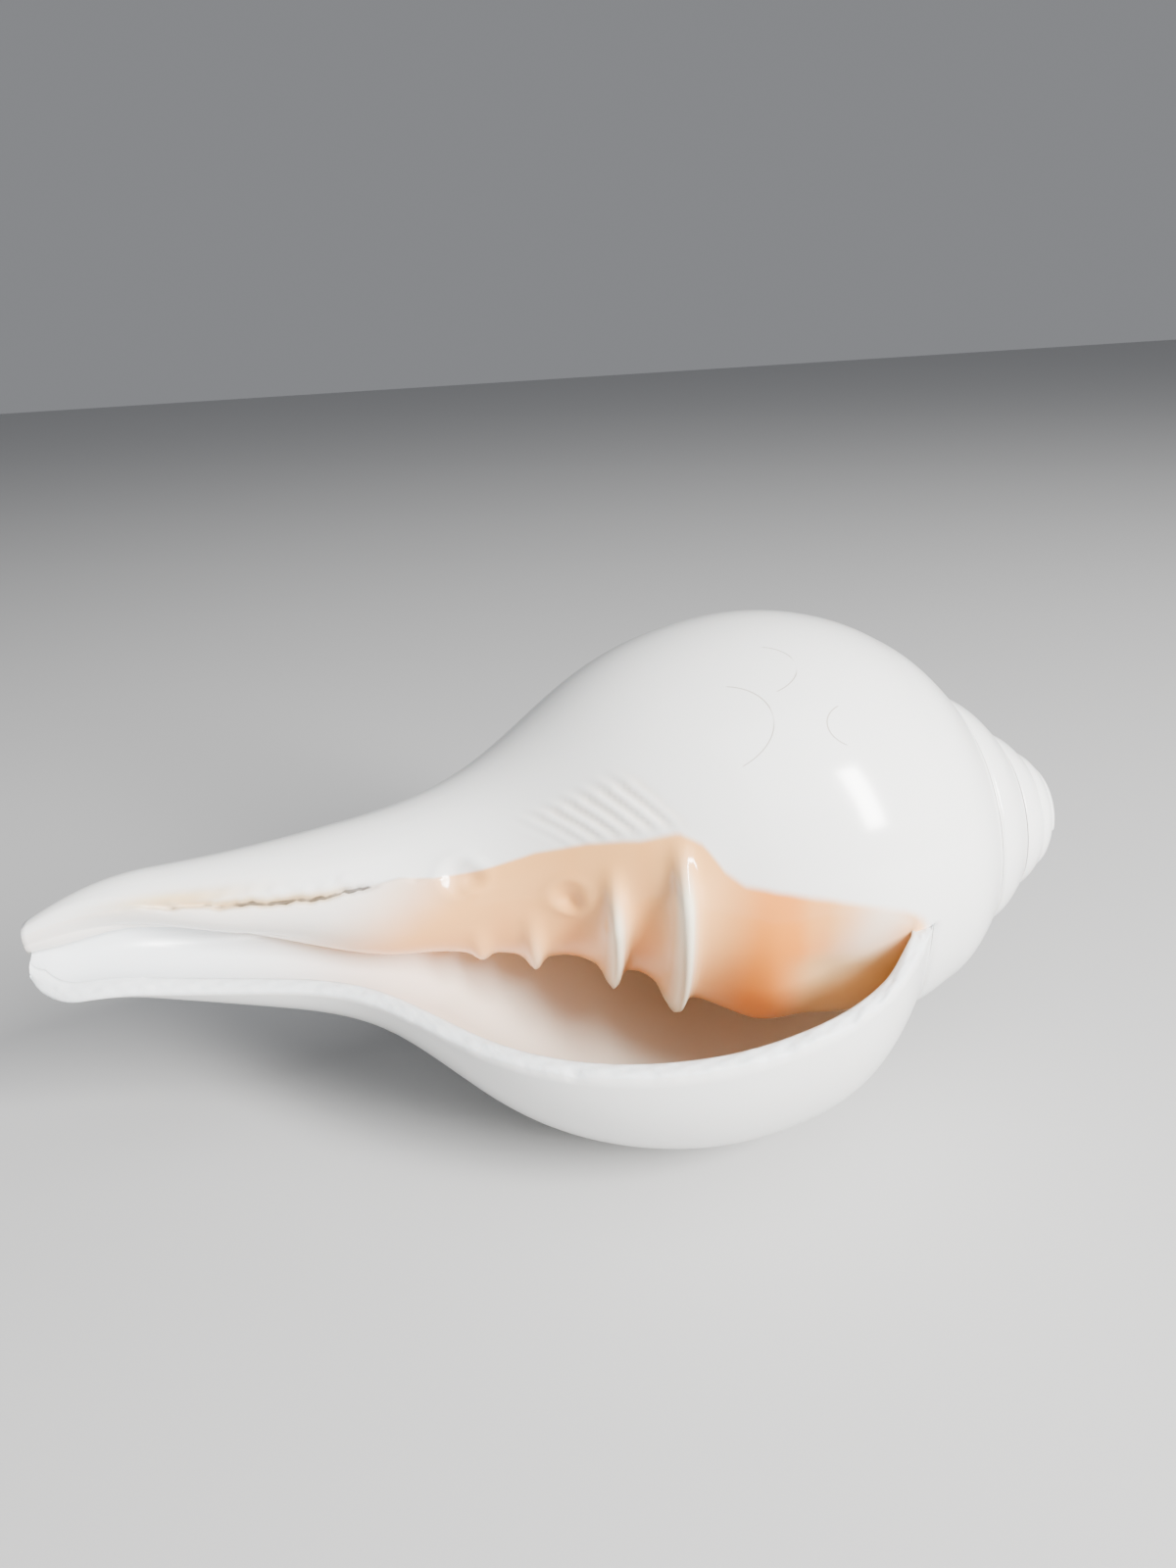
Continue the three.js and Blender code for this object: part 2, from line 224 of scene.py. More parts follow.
def along_at(phi, z):
    phi, z = np.broadcast_arrays(np.asarray(phi, float), np.asarray(z, float))
    low = np.full(z.shape, float(SUTURE[0]))
    high = np.full(z.shape, float(CANAL_END))
    for _ in range(HALVINGS):
        middle = (low + high) / 2
        above = skin(phi, middle)[0] < z
        low = np.where(above, middle, low)
        high = np.where(above, high, middle)
    return (low + high) / 2


def skin_radius(phi, z):
    return skin(phi, along_at(phi, z))[1]


def lip_shift(along):
    x = (along - SUTURE[0]) / (OUTLINE_END[0] - SUTURE[0])
    return sum(c * x ** (i + 1) for i, c in enumerate(LIP_CURVE))


def hollowed_radius(phi, z, radius):
    """What the pillar takes from the turn that it grew on: a recess at the folds, and the canal's hollow."""
    opened = TIP_OPENS * smooth((z - TIP_OPENS_FROM) / TIP_OPENS_OVER)
    turned_in = smooth((-phi - TURN + TURNED_IN_BEFORE + opened) / TURNED_IN_OVER)
    filled = TIP_FILLS * smooth((z - TIP_FILLS_FROM) / TIP_FILLS_OVER)
    canal = smooth((z - UNDERCUT_FROM) / UNDERCUT_OVER) * (1 - filled)
    recess = RECESS_DEPTH * np.exp(-(((z - RECESS_AT) / RECESS_WIDTH) ** 2))
    return radius * (1 - UNDERCUT * canal * turned_in) - recess * turned_in


def fold_relief(phi, z):
    """How high the folds that wind round the pillar stand."""
    inward = -phi - TURN
    height = 0
    for at, tall, wide, starts, rises_over in FOLDS:
        x = np.abs(z - at) / wide
        blade = FOLD_BLADE_SHARE * np.exp(-((x / FOLD_BLADE_WIDTH) ** FOLD_BLADE_SHARPNESS))
        base = (1 - FOLD_BLADE_SHARE) * np.exp(-((x / FOLD_BASE_WIDTH) ** 2))
        rise = smooth((inward + starts) / rises_over)
        fade = smooth((inward - FOLD_FADES_FROM) / FOLD_FADES_OVER)
        height = height + tall * (blade + base) * rise * (1 - fade)
    return height


def ripple(t, pitch):
    """A ragged wave of about unit height, whose longest part has this pitch."""
    x = TURN * t / pitch
    waves = ((1, 0.3, 0.5), (2.23, 1.9, 0.33), (3.71, 4.1, 0.25), (6.17, 2.6, 0.17), (9.43, 5.2, 0.11))
    return sum(size * np.sin(rate * x + start) for rate, start, size in waves)


# Where the peach callus ends on the turn before: distance along the axis, and angle ahead of the mouth.
CALLUS_EDGE = [
    (30, 0.02), (38, 0.1), (45, 0.17), (51, 0.22), (57, 0.26), (62, 0.3), (64.5, 0.37), (67, 0.5), (70, 0.57),
    (75, 0.56), (82, 0.6), (89, 0.62), (97, 0.57), (104, 0.58), (109, 0.66), (117, 0.6), (123, 0.58),
    (131, 0.64), (142, 0.75), (165, 0.9),
]


def callus_edge(z):
    return np.interp(z, *np.array(CALLUS_EDGE).T)


# The open seam between the callus and the canal's back, with glossy lumps beside it.
SEAM_FROM = 112
SEAM_OPENS_OVER = 3
SEAM_TO = 141
SEAM_CLOSES_OVER = 6
SEAM_DEPTH = 1.4
SEAM_HALF_WIDTH = 0.5
SEAM_RAGGED = 0.35
SEAM_RAGGED_PITCH = 7
SEAM_GAPS = 0.25
SEAM_GAPS_PITCH = 9
LUMP_HEIGHT = 0.3
LUMP_PITCH = 3.5
LUMPS_AWAY = 1.6
LUMP_WIDTH = 1.1

# The callus' edge stands a step above the turn before, which levels out across the callus. Like all of the
# fine relief, it ends this far ahead of the mouth, and its colours end a little further.
CALLUS_STEP = 0.45
CALLUS_STEP_FROM = 100
CALLUS_STEP_TO = 146
CALLUS_STEP_LEVELS_OVER = 9
RELIEF_ENDS = 1.35
RELIEF_ENDS_OVER = 0.2
RELIEF_COLOURS_END = 1.4

# Pits in the callus: distance along the axis, angle ahead of the mouth, radius and depth. A low rim stands
# round each: its radius and width are shares of the pit's radius, and its height is a share of the depth.
PIT_RIM = 1.6
PIT_RIM_WIDTH = 0.5
PIT_RIM_SHARE = 0.25
PITS = [(100.6, 0.55, 1.9, 0.9), (98.2, 0.5, 1.3, 0.7), (85.2, 0.24, 1.7, 0.8), (84.6, 0.17, 1.2, 0.5)]

# The patch of slanting ridges above the folds: between two angles ahead of the mouth, and between two heights
# measured along the slant, which is in mm for each radian.
RIDGE_PITCH = 2.3
RIDGE_SLANT = 21
RIDGE_HEIGHT = 0.34
RIDGES_FROM = 0.56
RIDGES_TO = 0.84
RIDGES_LOW = 56.2
RIDGES_HIGH = 66

# The crease above the mouth's narrow end, past which the surface turns inwards.
CREASE_SLOPE = 5.5
CREASE_DEPTH = 2.2
CREASE_FROM = 34
CREASE_TO = 49


def bell(x, middle, width):
    return np.exp(-(((x - middle) / width) ** 2))


def seam_place(ahead, z, radius):
    """Distance in mm from the seam, positive on the canal's back, and how open the seam is there."""
    away = (ahead - callus_edge(z)) * radius + SEAM_RAGGED * ripple(z, SEAM_RAGGED_PITCH)
    run = smooth((z - SEAM_FROM) / SEAM_OPENS_OVER) * (1 - smooth((z - SEAM_TO) / SEAM_CLOSES_OVER))
    return away, run * (1 - SEAM_GAPS + SEAM_GAPS * ripple(z + 3, SEAM_GAPS_PITCH))


def fine_relief(phi, z, radius):
    """The seam, pits, slanting ridges and crease on the turn before the mouth."""
    ahead = phi + TURN
    away, run = seam_place(ahead, z, radius)
    near = smooth((RELIEF_ENDS - ahead) / RELIEF_ENDS_OVER)
    groove = -SEAM_DEPTH * run * bell(away, 0, SEAM_HALF_WIDTH)
    step_run = smooth((z - CALLUS_STEP_FROM) / 6) * (1 - smooth((z - CALLUS_STEP_TO) / 8))
    step = CALLUS_STEP * step_run * smooth(-away / 0.8 + 0.3) * smooth(away / CALLUS_STEP_LEVELS_OVER + 1)
    lumps = LUMP_HEIGHT * run * bell(away, LUMPS_AWAY, LUMP_WIDTH) * (0.5 + 0.5 * ripple(z, LUMP_PITCH))
    pits = 0
    for at, angle, wide, deep in PITS:
        apart = np.hypot(z - at, (ahead - angle) * radius) / wide
        pits = pits - deep * bell(apart, 0, 1) + PIT_RIM_SHARE * deep * bell(apart, PIT_RIM, PIT_RIM_WIDTH)
    slanting = z - RIDGE_SLANT * ahead
    patch = smooth((ahead - RIDGES_FROM) / 0.1) * (1 - smooth((ahead - RIDGES_TO) / 0.16))
    patch = patch * smooth((slanting - RIDGES_LOW) / 1.5) * (1 - smooth((slanting - RIDGES_HIGH) / 9))
    ridges = RIDGE_HEIGHT * patch * np.cos(TURN * slanting / RIDGE_PITCH + 0.5 * ripple(ahead, 0.5))
    past = np.clip(callus_edge(z) - 0.02 - ahead, 0, CREASE_DEPTH / CREASE_SLOPE) * CREASE_SLOPE
    crease = -past * smooth((z - CREASE_FROM) / 4) * (1 - smooth((z - CREASE_TO) / 10))
    return (groove + step + lumps + pits + ridges + crease) * near


def pillar_radius(phi, z, radius):
    return hollowed_radius(phi, z, radius) + fold_relief(phi, z) + fine_relief(phi, z, radius)


def place(phi, z, r):
    """From growth angle, distance along the axis and radius to the resting shell."""
    r = r * (1 + APEX_WIDENING * np.exp(-((z / APEX_WIDENING_REACH) ** 2)))
    rounded = np.hypot(z, APEX_ROUNDING) - APEX_ROUNDING
    x = np.clip((z - CANAL_BEND_START) / (OUTLINE_END[0] - CANAL_BEND_START), 0, 1.2)
    droop = np.maximum(0, (z - TIP_DROOP_STARTS) / (CANAL_END - TIP_DROOP_STARTS))
    front = r * np.cos(LIP_ANGLE + phi) + CANAL_BEND_FRONT[0] * x**2 + CANAL_BEND_FRONT[1] * x**3
    up = r * np.sin(LIP_ANGLE + phi) + CANAL_BEND_UP[0] * x**2 + CANAL_BEND_UP[1] * x**3
    up = up - TIP_DROOP * droop**2
    return np.stack([
        -rounded * math.cos(AXIS_RISE) - up * math.sin(AXIS_RISE),
        -front,
        up * math.cos(AXIS_RISE) - rounded * math.sin(AXIS_RISE),
    ], axis=-1)


def wall_at(phi, z):
    inwards = smooth(-phi / WALL_THICKENS_OVER)
    inner = INNER_WALL + (CANAL_WALL - INNER_WALL) * smooth((z - CANAL_WALL_FROM) / CANAL_WALL_OVER)
    wall = LIP_WALL + (inner - LIP_WALL) * inwards
    slope = skin_radius(phi, z + 0.5) - skin_radius(phi, z - 0.5)
    return wall * np.hypot(1, slope)


def hollow_top(phi):
    """The height of the hollow's top edge, where the wall meets the pillar."""
    low = skin(phi, SUTURE[0])[0]
    high = skin(phi, WIDEST[0])[0]
    for _ in range(HALVINGS):
        middle = (low + high) / 2
        gap = skin_radius(phi, middle) - wall_at(phi, middle) - skin_radius(phi - TURN, middle)
        low = np.where(gap < 0, middle, low)
        high = np.where(gap < 0, high, middle)
    return high


# Columns stand close together ahead of the mouth, where the fine relief is, and further apart behind.
front_part = np.linspace(0, FRONT_SHARE, FRONT_COLUMNS + 1)
back_part = FRONT_SHARE + (1 - FRONT_SHARE) * np.linspace(0, 1, BACK_COLUMNS + 1)[1:]
TURN_SHARES = np.concatenate([front_part, back_part])
COLUMNS = len(TURN_SHARES) - 1

# Rows close up on both sides of a suture.
SHOULDER_SHARES = 0.5 - 0.5 * np.cos(np.linspace(0, math.pi, SHOULDER_ROWS + 1))

top_at_lip = float(hollow_top(np.array(0.0)))
pillar_end = float(skin(-TURN, CANAL_END)[0])
low_at_start = SUTURE[0] * GROWTH + float(suture_drop(0.0))
row_heights = top_at_lip + (pillar_end - top_at_lip) * np.linspace(0, 1, HOLLOW_ROWS + 1)


def suture_groove(phi, away):
    """The fine groove beside a suture, at a distance in mm on the newest turn."""
    return SUTURE_GROOVE * crisp(phi) * GROWTH ** (phi / TURN + 1) * bell(away, 0, SUTURE_GROOVE_WIDTH)


# The lip's outer edge is worn in waves and fine fraying, and chipped: distance along the axis, width and
# depth of each chip. A depth is turned into an angle at the lip's usual radius.
LIP_RADIUS = 40
LIP_WEAR = 0.14
LIP_WEAR_PITCH = 11
LIP_FRAY = 0.08
LIP_FRAY_PITCH = 2.3
CHIPS = [(46, 1.6, 0.7), (51, 1.1, 0.8), (53.6, 1.5, 0.5), (61, 1.2, 0.6), (63.5, 0.8, 0.5), (88, 1.0, 0.35)]


def lip_chips(z):
    """How far the lip's edge is worn back, in mm."""
    worn = LIP_WEAR * np.maximum(0, ripple(z, LIP_WEAR_PITCH)) + LIP_FRAY * ripple(z, LIP_FRAY_PITCH)
    return worn + sum(deep * np.clip(1.4 * bell(z, at, wide), 0, 1) for at, wide, deep in CHIPS)


def make_spire():
    """The early turns: one strip wound round the axis, each turn sharing its suture with the next."""
    turns = [TURN_SHARES + t - EARLY_TURNS - 1 for t in range(EARLY_TURNS)]
    shares = np.concatenate([t[:-1] for t in turns] + [[-1.0]])
    phi = TURN * shares[:, None]
    low = SUTURE[0] * GROWTH + suture_drop(phi + TURN)
    along = SUTURE[0] + (low - SUTURE[0]) * SHOULDER_SHARES[None, :]
    z, r = skin(phi, along)
    r = r - suture_groove(phi, along - SUTURE[0]) - suture_groove(phi, low - along)
    z[COLUMNS:, 0] = z[:-COLUMNS, -1]
    r[COLUMNS:, 0] = r[:-COLUMNS, -1]
    return np.broadcast_to(phi, z.shape), z, r


def make_body(spire):
    """The last turn, whose first column carries on into the hollow."""
    _, spire_z, spire_r = spire
    v = TURN_SHARES[:, None]
    start_rows = along_at(-TURN, row_heights)
    lip_rows = along_at(0.0, row_heights)
    corner_rows = np.linspace(low_at_start, start_rows[0], CORNER_ROWS + 1)[1:-1]
    shoulder_rows = SUTURE[0] + (low_at_start - SUTURE[0]) * SHOULDER_SHARES
    at_start = np.concatenate([shoulder_rows, corner_rows, start_rows])
    above = len(shoulder_rows) + len(corner_rows)
    lip_above = SUTURE[0] + (lip_rows[0] - SUTURE[0]) * np.linspace(0, 1, above + 1)[:-1] ** 1.5
    at_lip = np.concatenate([lip_above, lip_rows])
    along = at_start * (1 - v) + at_lip * v
    phi = -TURN * (1 - v) + lip_shift(along) * v
    phi[-1] -= lip_chips(at_lip) / LIP_RADIUS
    z, r = skin(phi, along)
    r = r - suture_groove(phi, along - SUTURE[0])
    r[:, above:] = pillar_radius(phi[:, above:], z[:, above:], r[:, above:])
    z[:, 0] = spire_z[-COLUMNS - 1:, -1]
    r[:, 0] = spire_r[-COLUMNS - 1:, -1]
    z[0, :SHOULDER_ROWS + 1] = spire_z[-1]
    r[0, :SHOULDER_ROWS + 1] = spire_r[-1]
    phi[:, 0] = -TURN * (1 - TURN_SHARES)
    return phi, z, r


# The canal's end starts at this share of the last turn. The hollow grows shallower towards it, its rows run
# level past a distance along the axis, and its columns crowd together at the lip.
CANAL_END_STARTS = 0.88
SHALLOWS_FROM = 78
SHALLOWS_OVER = 30
END_DEPTH_FROM = 140
ROWS_LEVEL_FROM = 66
COLUMN_CROWDING = 1.3
LIP_CURVES_OVER = 6

# How the wall closes on the pillar, deep in the hollow and in the canal: over which share of the hollow's
# depth, and how bluntly.
CLOSING_CANAL_FROM = 100
CLOSING_CANAL_OVER = 20
CLOSING_SHARE = 0.3
CLOSING_SHARE_ADDED = 0.65
CLOSING_BLUNTNESS = 0.5
CLOSING_BLUNTNESS_ADDED = 0.4

END_COLUMN = int(np.argmin(np.abs(TURN_SHARES - CANAL_END_STARTS)))
END_SHARE = TURN_SHARES[END_COLUMN]
end_depth = TURN * (1 - END_SHARE) - lip_shift(CANAL_END) * END_SHARE


def depth_of(z):
    """How far inwards the hollow reaches at a height, as a growth angle."""
    canal = smooth((z - SHALLOWS_FROM) / SHALLOWS_OVER)
    depth = HOLLOW_DEPTH + (CANAL_DEPTH - HOLLOW_DEPTH) * canal
    return depth + (end_depth - depth) * smooth((z - END_DEPTH_FROM) / (pillar_end - END_DEPTH_FROM))


top_angles = np.linspace(-HOLLOW_DEPTH, 0, TOP_ANGLES)
top_heights = hollow_top(top_angles)


def hollow_rows(phi):
    """The rows' heights, which follow the hollow's top edge up inside the shell."""
    shift = 1 - smooth((row_heights - top_at_lip) / (ROWS_LEVEL_FROM - top_at_lip))
    return row_heights + (np.interp(phi, top_angles, top_heights) - top_at_lip) * shift


def make_pillar(body):
    w = np.linspace(0, 1, HOLLOW_COLUMNS + 1)[:, None]
    inward = depth_of(row_heights)[None, :] * (1 - w) ** COLUMN_CROWDING
    z = hollow_rows(-inward)
    phi = -TURN - inward
    r = pillar_radius(phi, z, skin_radius(phi, z))
    first = -HOLLOW_ROWS - 1
    z[-1] = body[1][0, first:]
    r[-1] = body[2][0, first:]
    return phi, z, r


def make_wall(pillar):
    """The inside of the outer wall, which meets the pillar at the hollow's deep end and top edge."""
    w = np.linspace(0, 1, HOLLOW_COLUMNS + 1)[:, None]
    inward = depth_of(row_heights)[None, :] * (1 - w) ** COLUMN_CROWDING
    z = hollow_rows(-inward)
    lip = lip_shift(z) * smooth((z - top_at_lip) / LIP_CURVES_OVER)
    phi = -inward + lip * w
    outer = skin_radius(phi, z)
    thick = np.minimum(wall_at(phi, z), outer * THICKEST_SHARE)
    floor = hollowed_radius(-TURN - inward, z, skin_radius(phi - TURN, np.minimum(z, pillar_end)))
    gap = np.maximum(outer - thick - floor, THINNEST_GAP)
    canal = smooth((z - CLOSING_CANAL_FROM) / CLOSING_CANAL_OVER)
    closing_share = CLOSING_SHARE + CLOSING_SHARE_ADDED * canal
    bluntness = CLOSING_BLUNTNESS + CLOSING_BLUNTNESS_ADDED * canal
    closing = (1 - (1 - np.minimum(1, w / closing_share)) ** 2) ** bluntness
    r = floor + gap * closing
    z[0] = pillar[1][0]
    r[0] = pillar[2][0]
    z[:, 0] = pillar[1][:, 0]
    r[:, 0] = pillar[2][:, 0]
    return phi, z, r


# The lip's edge bulges ahead by a share of its thickness, which counts up to a limit. Its roughness runs
# along it in steps of RIM_STEP from point to point.
RIM_BULGE = 0.16
RIM_BULGE_THICKNESS = 3
RIM_STEP = 0.7


def between(outside, inside, steps, bulge):
    """Rows of places across the lip's edge, rounded outwards by bulge, and rough."""
    t = np.linspace(0, 1, steps + 1)[:, None, None]
    across = outside * (1 - t) + inside * t
    run = np.arange(outside.shape[0])[None, :, None] * RIM_STEP
    rough = 1 + 0.35 * ripple(run + 9 * t, 5.3) + 0.25 * ripple(run - 14 * t, 2.1)
    return across + bulge * np.sin(math.pi * t) ** 0.6 * rough


def make_sheets():
    """Every sheet of the shell as places in mm, with the growth angle and height of each point."""
    spire = make_spire()
    body = make_body(spire)
    pillar = make_pillar(body)
    wall = make_wall(pillar)
    sheets = {}
    for name, (phi, z, r) in (("spire", spire), ("body", body), ("pillar", pillar), ("wall", wall)):
        where = phi
        if name in ("pillar", "wall"):
            where = phi.copy()
            where[:, 0] = pillar[0][:, 0]
            where[0, :] = pillar[0][0, :]
        sheets[name] = (place(where, z, r), phi, z)
    body_at, pillar_at, wall_at_lip = sheets["body"][0], sheets["pillar"][0], sheets["wall"][0]
    pillar_at[-1] = body_at[0, -HOLLOW_ROWS - 1:]
    wall_at_lip[:, 0] = pillar_at[:, 0]
    wall_at_lip[0] = pillar_at[0]

    above = body_at.shape[1] - HOLLOW_ROWS - 1
    inside = np.concatenate([
        np.repeat(body_at[0:1, SHOULDER_ROWS], SHOULDER_ROWS, axis=0),
        body_at[0, SHOULDER_ROWS:above + 1],
        wall_at_lip[-1, 1:],
    ])
    outside = body_at[-1]
    ahead = body_at[-1] - body_at[-2]
    ahead = ahead / np.linalg.norm(ahead, axis=-1, keepdims=True)
    width = np.linalg.norm(outside - inside, axis=-1, keepdims=True)
    sheets["lip edge"] = (
        between(outside, inside, RIM_STEPS, ahead * np.minimum(width, RIM_BULGE_THICKNESS) * RIM_BULGE),
        np.broadcast_to(body[0][-1], (RIM_STEPS + 1, outside.shape[0])),
        np.broadcast_to(body[1][-1], (RIM_STEPS + 1, outside.shape[0])),
    )

    end_outside = body_at[END_COLUMN:, -1][::-1]
    count = len(end_outside)
    pairs = np.round(np.linspace(HOLLOW_COLUMNS, 0, count)).astype(int)
    end_inside = wall_at_lip[pairs, -1]
    end_ahead = np.array([-1.0, 0, 0])
    end_width = np.linalg.norm(end_outside - end_inside, axis=-1, keepdims=True)
    fading = np.sin(np.linspace(math.pi / 2, 0, count))[:, None]
    first = ahead[-1] * np.linspace(1, 0, count)[:, None] + end_ahead * np.linspace(0, 1, count)[:, None]
    sheets["canal edge"] = (
        between(end_outside, end_inside, RIM_STEPS, first * end_width * RIM_BULGE * fading),
        np.broadcast_to(body[0][END_COLUMN:, -1][::-1], (RIM_STEPS + 1, count)),
        np.full((RIM_STEPS + 1, count), pillar_end),
    )

    ring = np.concatenate([pillar_at[:, -1], body_at[1:END_COLUMN + 1, -1], pillar_at[0:1, -1]])
    middle = place(np.array(0.0), np.array(pillar_end + END_BULGE), np.array(0.0))
    sheets["canal end"] = cap(ring, middle, -TURN, pillar_end)

    spire_at = sheets["spire"][0]
    ring = np.concatenate([spire_at[0, ::-1], spire_at[1:COLUMNS + 1, 0]])
    sheets["apex"] = cap(ring, place(np.array(0.0), np.array(0.0), np.array(0.0)), -TURN * EARLY_TURNS, 0)
    return sheets


def cap(ring, middle, phi, z):
    """A domed cap from a ring of points to its middle."""
    t = np.linspace(0, 1, CAP_ROWS + 1)[:, None, None]
    places = ring + (middle - ring) * np.sin(t * math.pi / 2)
    return places, np.full(places.shape[:2], float(phi)), np.full(places.shape[:2], float(z))


def deselect_all():
    bpy.ops.object.select_all(action="DESELECT")


def grid_sheet(name, places, marks):
    """A grid whose points are moved to their places on the shell, with its colours' marks in each corner."""
    columns, rows = places.shape[:2]
    bpy.ops.mesh.primitive_grid_add(
        x_subdivisions=columns - 1, y_subdivisions=rows - 1, size=1, calc_uvs=False
    )
    sheet = bpy.context.object
    sheet.name = name
    mesh = sheet.data
    flat = np.zeros(len(mesh.vertices) * 3)
    mesh.vertices.foreach_get("co", flat)
    flat = flat.reshape(-1, 3)
    column = np.rint((flat[:, 0] + 0.5) * (columns - 1)).astype(int)
    row = np.rint((flat[:, 1] + 0.5) * (rows - 1)).astype(int)
    mesh.vertices.foreach_set("co", places[column, row].ravel())
    corners = np.zeros(len(mesh.loops), int)
    mesh.loops.foreach_get("vertex_index", corners)
    for mark, values in marks.items():
        layer = mesh.attributes.new(mark, "FLOAT", "CORNER")
        layer.data.foreach_set("value", values[column, row][corners].astype(np.float32))
    return sheet


OUTER_GROWTH_SHARE = 0.95


def outer_radius(phi, z):
    """The body's radius at this height, near enough for the colours."""
    return outline_radius(z) * GROWTH ** (np.asarray(phi) / TURN * OUTER_GROWTH_SHARE)


# Where the callus is a warmer orange, as rings, and between the folds, where the deeper orange is partly
# painted shade: distance along the axis, half width and strength.
WARM_RINGS = [(57.5, 5, 1.3), (51, 1.8, 0.35), (64, 3, 0.25)]
WARM_AND_SHADE_BETWEEN_FOLDS = [(74.8, 2.6, 0.5), (84.5, 3.2, 0.45), (94.5, 3, 0.3)]
FOLD_CREST = 4.2

# Other places of the colours. Those along the axis are in mm, and a slant is in mm for each radian.
CALLUS_FROM = 33
CALLUS_STARTS_OVER = 8
CALLUS_EDGE_BLUR = 0.09
COLOUR_SLANT = 12
PALE_BAND = 44.5
PALE_BAND_WIDTH = 4.5
PEACH_FADES_FROM = 102
PEACH_FADES_OVER = 24
PEACH_FADES_BY = 0.9
# Painted shade on the lining: tan deep in the middle of the mouth, at this distance along the axis and half
# width.
LINING_SHADE_AT = 68
LINING_SHADE_WIDTH = 15
LINING_AMBER = 42
LINING_AMBER_WIDTH = 6
BLUISH_FROM = 96
BLUISH_OVER = 34
SUTURE_SHADE_WIDTH = 0.35
SEAM_SHADE_WIDTH = 0.6
SEAM_PALER_FROM = 129
SEAM_PALER_OVER = 8
BROWN_FROM = 114
BROWN_TO = 139
BROWN_AWAY = 0.3
BROWN_WIDTH = 1.1
STAIN = 140
STAIN_WIDTH = 9
STAIN_AHEAD = 0.86
STAIN_ANGLE = 0.16
RIM_STAIN_TO = 50
RIM_STAIN_FADES_OVER = 9
IVORY_RIDGES_FROM = 0.54
IVORY_RIDGES_LOW = 55
IVORY_RIDGES_HIGH = 67


def make_marks(name, phi, z):
    """How strongly each point shows the callus, its warmer colour and painted shade, the lining, the folds'
    crests and more.
    """
    phi, z = np.broadcast_arrays(np.asarray(phi, float), np.asarray(z, float))
    zero = np.zeros(z.shape)
    ahead = phi + TURN
    lining = name == "wall"
    edge = name in ("lip edge", "canal edge")
    marks = {"along": z, "turned": phi / TURN}
    on_pillar = name in ("body", "pillar")
    within_edge = smooth((callus_edge(z) + CALLUS_EDGE_BLUR - ahead) / (2 * CALLUS_EDGE_BLUR))
    callus = within_edge * smooth((z - CALLUS_FROM) / CALLUS_STARTS_OVER)
    marks["callus"] = callus if on_pillar else zero
    rings = sum(strength * bell(z, at, wide) for at, wide, strength in WARM_RINGS + WARM_AND_SHADE_BETWEEN_FOLDS)
    # The deeper orange between the folds is partly painted shade.
    marks["warm"] = rings * (0.7 + 0.3 * smooth(-1.4 * ahead + 0.6))
    slanted = z + COLOUR_SLANT * ahead
    marks["pale"] = 0.8 * bell(slanted, PALE_BAND, PALE_BAND_WIDTH) * smooth((ahead + 0.4) / 0.3)
    slanting = z - RIDGE_SLANT * ahead
    ridged = smooth((ahead - IVORY_RIDGES_FROM) / 0.1) * (1 - smooth((ahead - RIDGES_TO) / 0.16))
    ridged = ridged * smooth((slanting - IVORY_RIDGES_LOW) / 2)
    ridged = ridged * (1 - smooth((slanting - IVORY_RIDGES_HIGH) / 7))
    ridged = ridged * (0.6 - 0.4 * np.cos(TURN * slanting / RIDGE_PITCH))
    marks["ridged"] = ridged if name == "body" else zero
    marks["crest"] = np.clip(fold_relief(phi, z) / FOLD_CREST, 0, 1) ** 2 if on_pillar else zero
    marks["tint"] = 1 - PEACH_FADES_BY * smooth((slanted - PEACH_FADES_FROM) / PEACH_FADES_OVER)
    marks["inside"] = zero + (1.0 if lining or edge else 0.0)
    if lining:
        # On the lining this mark is painted shade, tan deep in the middle of the mouth.
        marks["warm"] = 0.85 * bell(z, LINING_SHADE_AT, LINING_SHADE_WIDTH) * smooth((-phi + 0.1) / 1.4)
        marks["pale"] = bell(z, LINING_AMBER, LINING_AMBER_WIDTH) * smooth((0.9 + phi) / 0.6)
    marks["canal"] = smooth((z - BLUISH_FROM) / BLUISH_OVER) * (0.9 if lining or edge else 0.0) + zero
    marks["rim"] = zero + (1.0 if edge else 0.0)
    suture = z - skin(phi, SUTURE[0])[0]
    marks["crevice"] = zero
    # The sutures get a dark line of painted shade, clear where they are not worn.
    if name in ("spire", "body"):
        marks["crevice"] = 0.85 * bell(suture, 0, SUTURE_SHADE_WIDTH) * crisp(phi)
    marks["stain"] = zero
    if on_pillar:
        radius = skin_radius(phi, z) if name == "pillar" else outer_radius(phi, z)
        away, run = seam_place(ahead, z, radius)
        paler = 0.5 * smooth((z - SEAM_PALER_FROM) / SEAM_PALER_OVER)
        # The open seam is darkened with painted shade too, paler towards its end.
        dark = (1.25 - paler) * smooth(run / 0.35) * (0.8 + 0.2 * ripple(z, 5))
        here = ahead < RELIEF_COLOURS_END
        marks["crevice"] = np.maximum(marks["crevice"], dark * bell(away, 0, SEAM_SHADE_WIDTH) * here)
        by_rim = smooth((-0.02 - ahead) / 0.16) * (1 - smooth((z - RIM_STAIN_TO) / RIM_STAIN_FADES_OVER))
        on_canal = bell(z, STAIN, STAIN_WIDTH) * bell(ahead, STAIN_AHEAD, STAIN_ANGLE)
        marks["stain"] = on_canal + 0.9 * by_rim
        beside_seam = smooth((z - BROWN_FROM) / 6) * (1 - smooth((z - BROWN_TO) / 7))
        brown = 0.9 * beside_seam * bell(away, BROWN_AWAY, BROWN_WIDTH)
        marks["stain"] = np.maximum(marks["stain"], brown * here)
    return marks


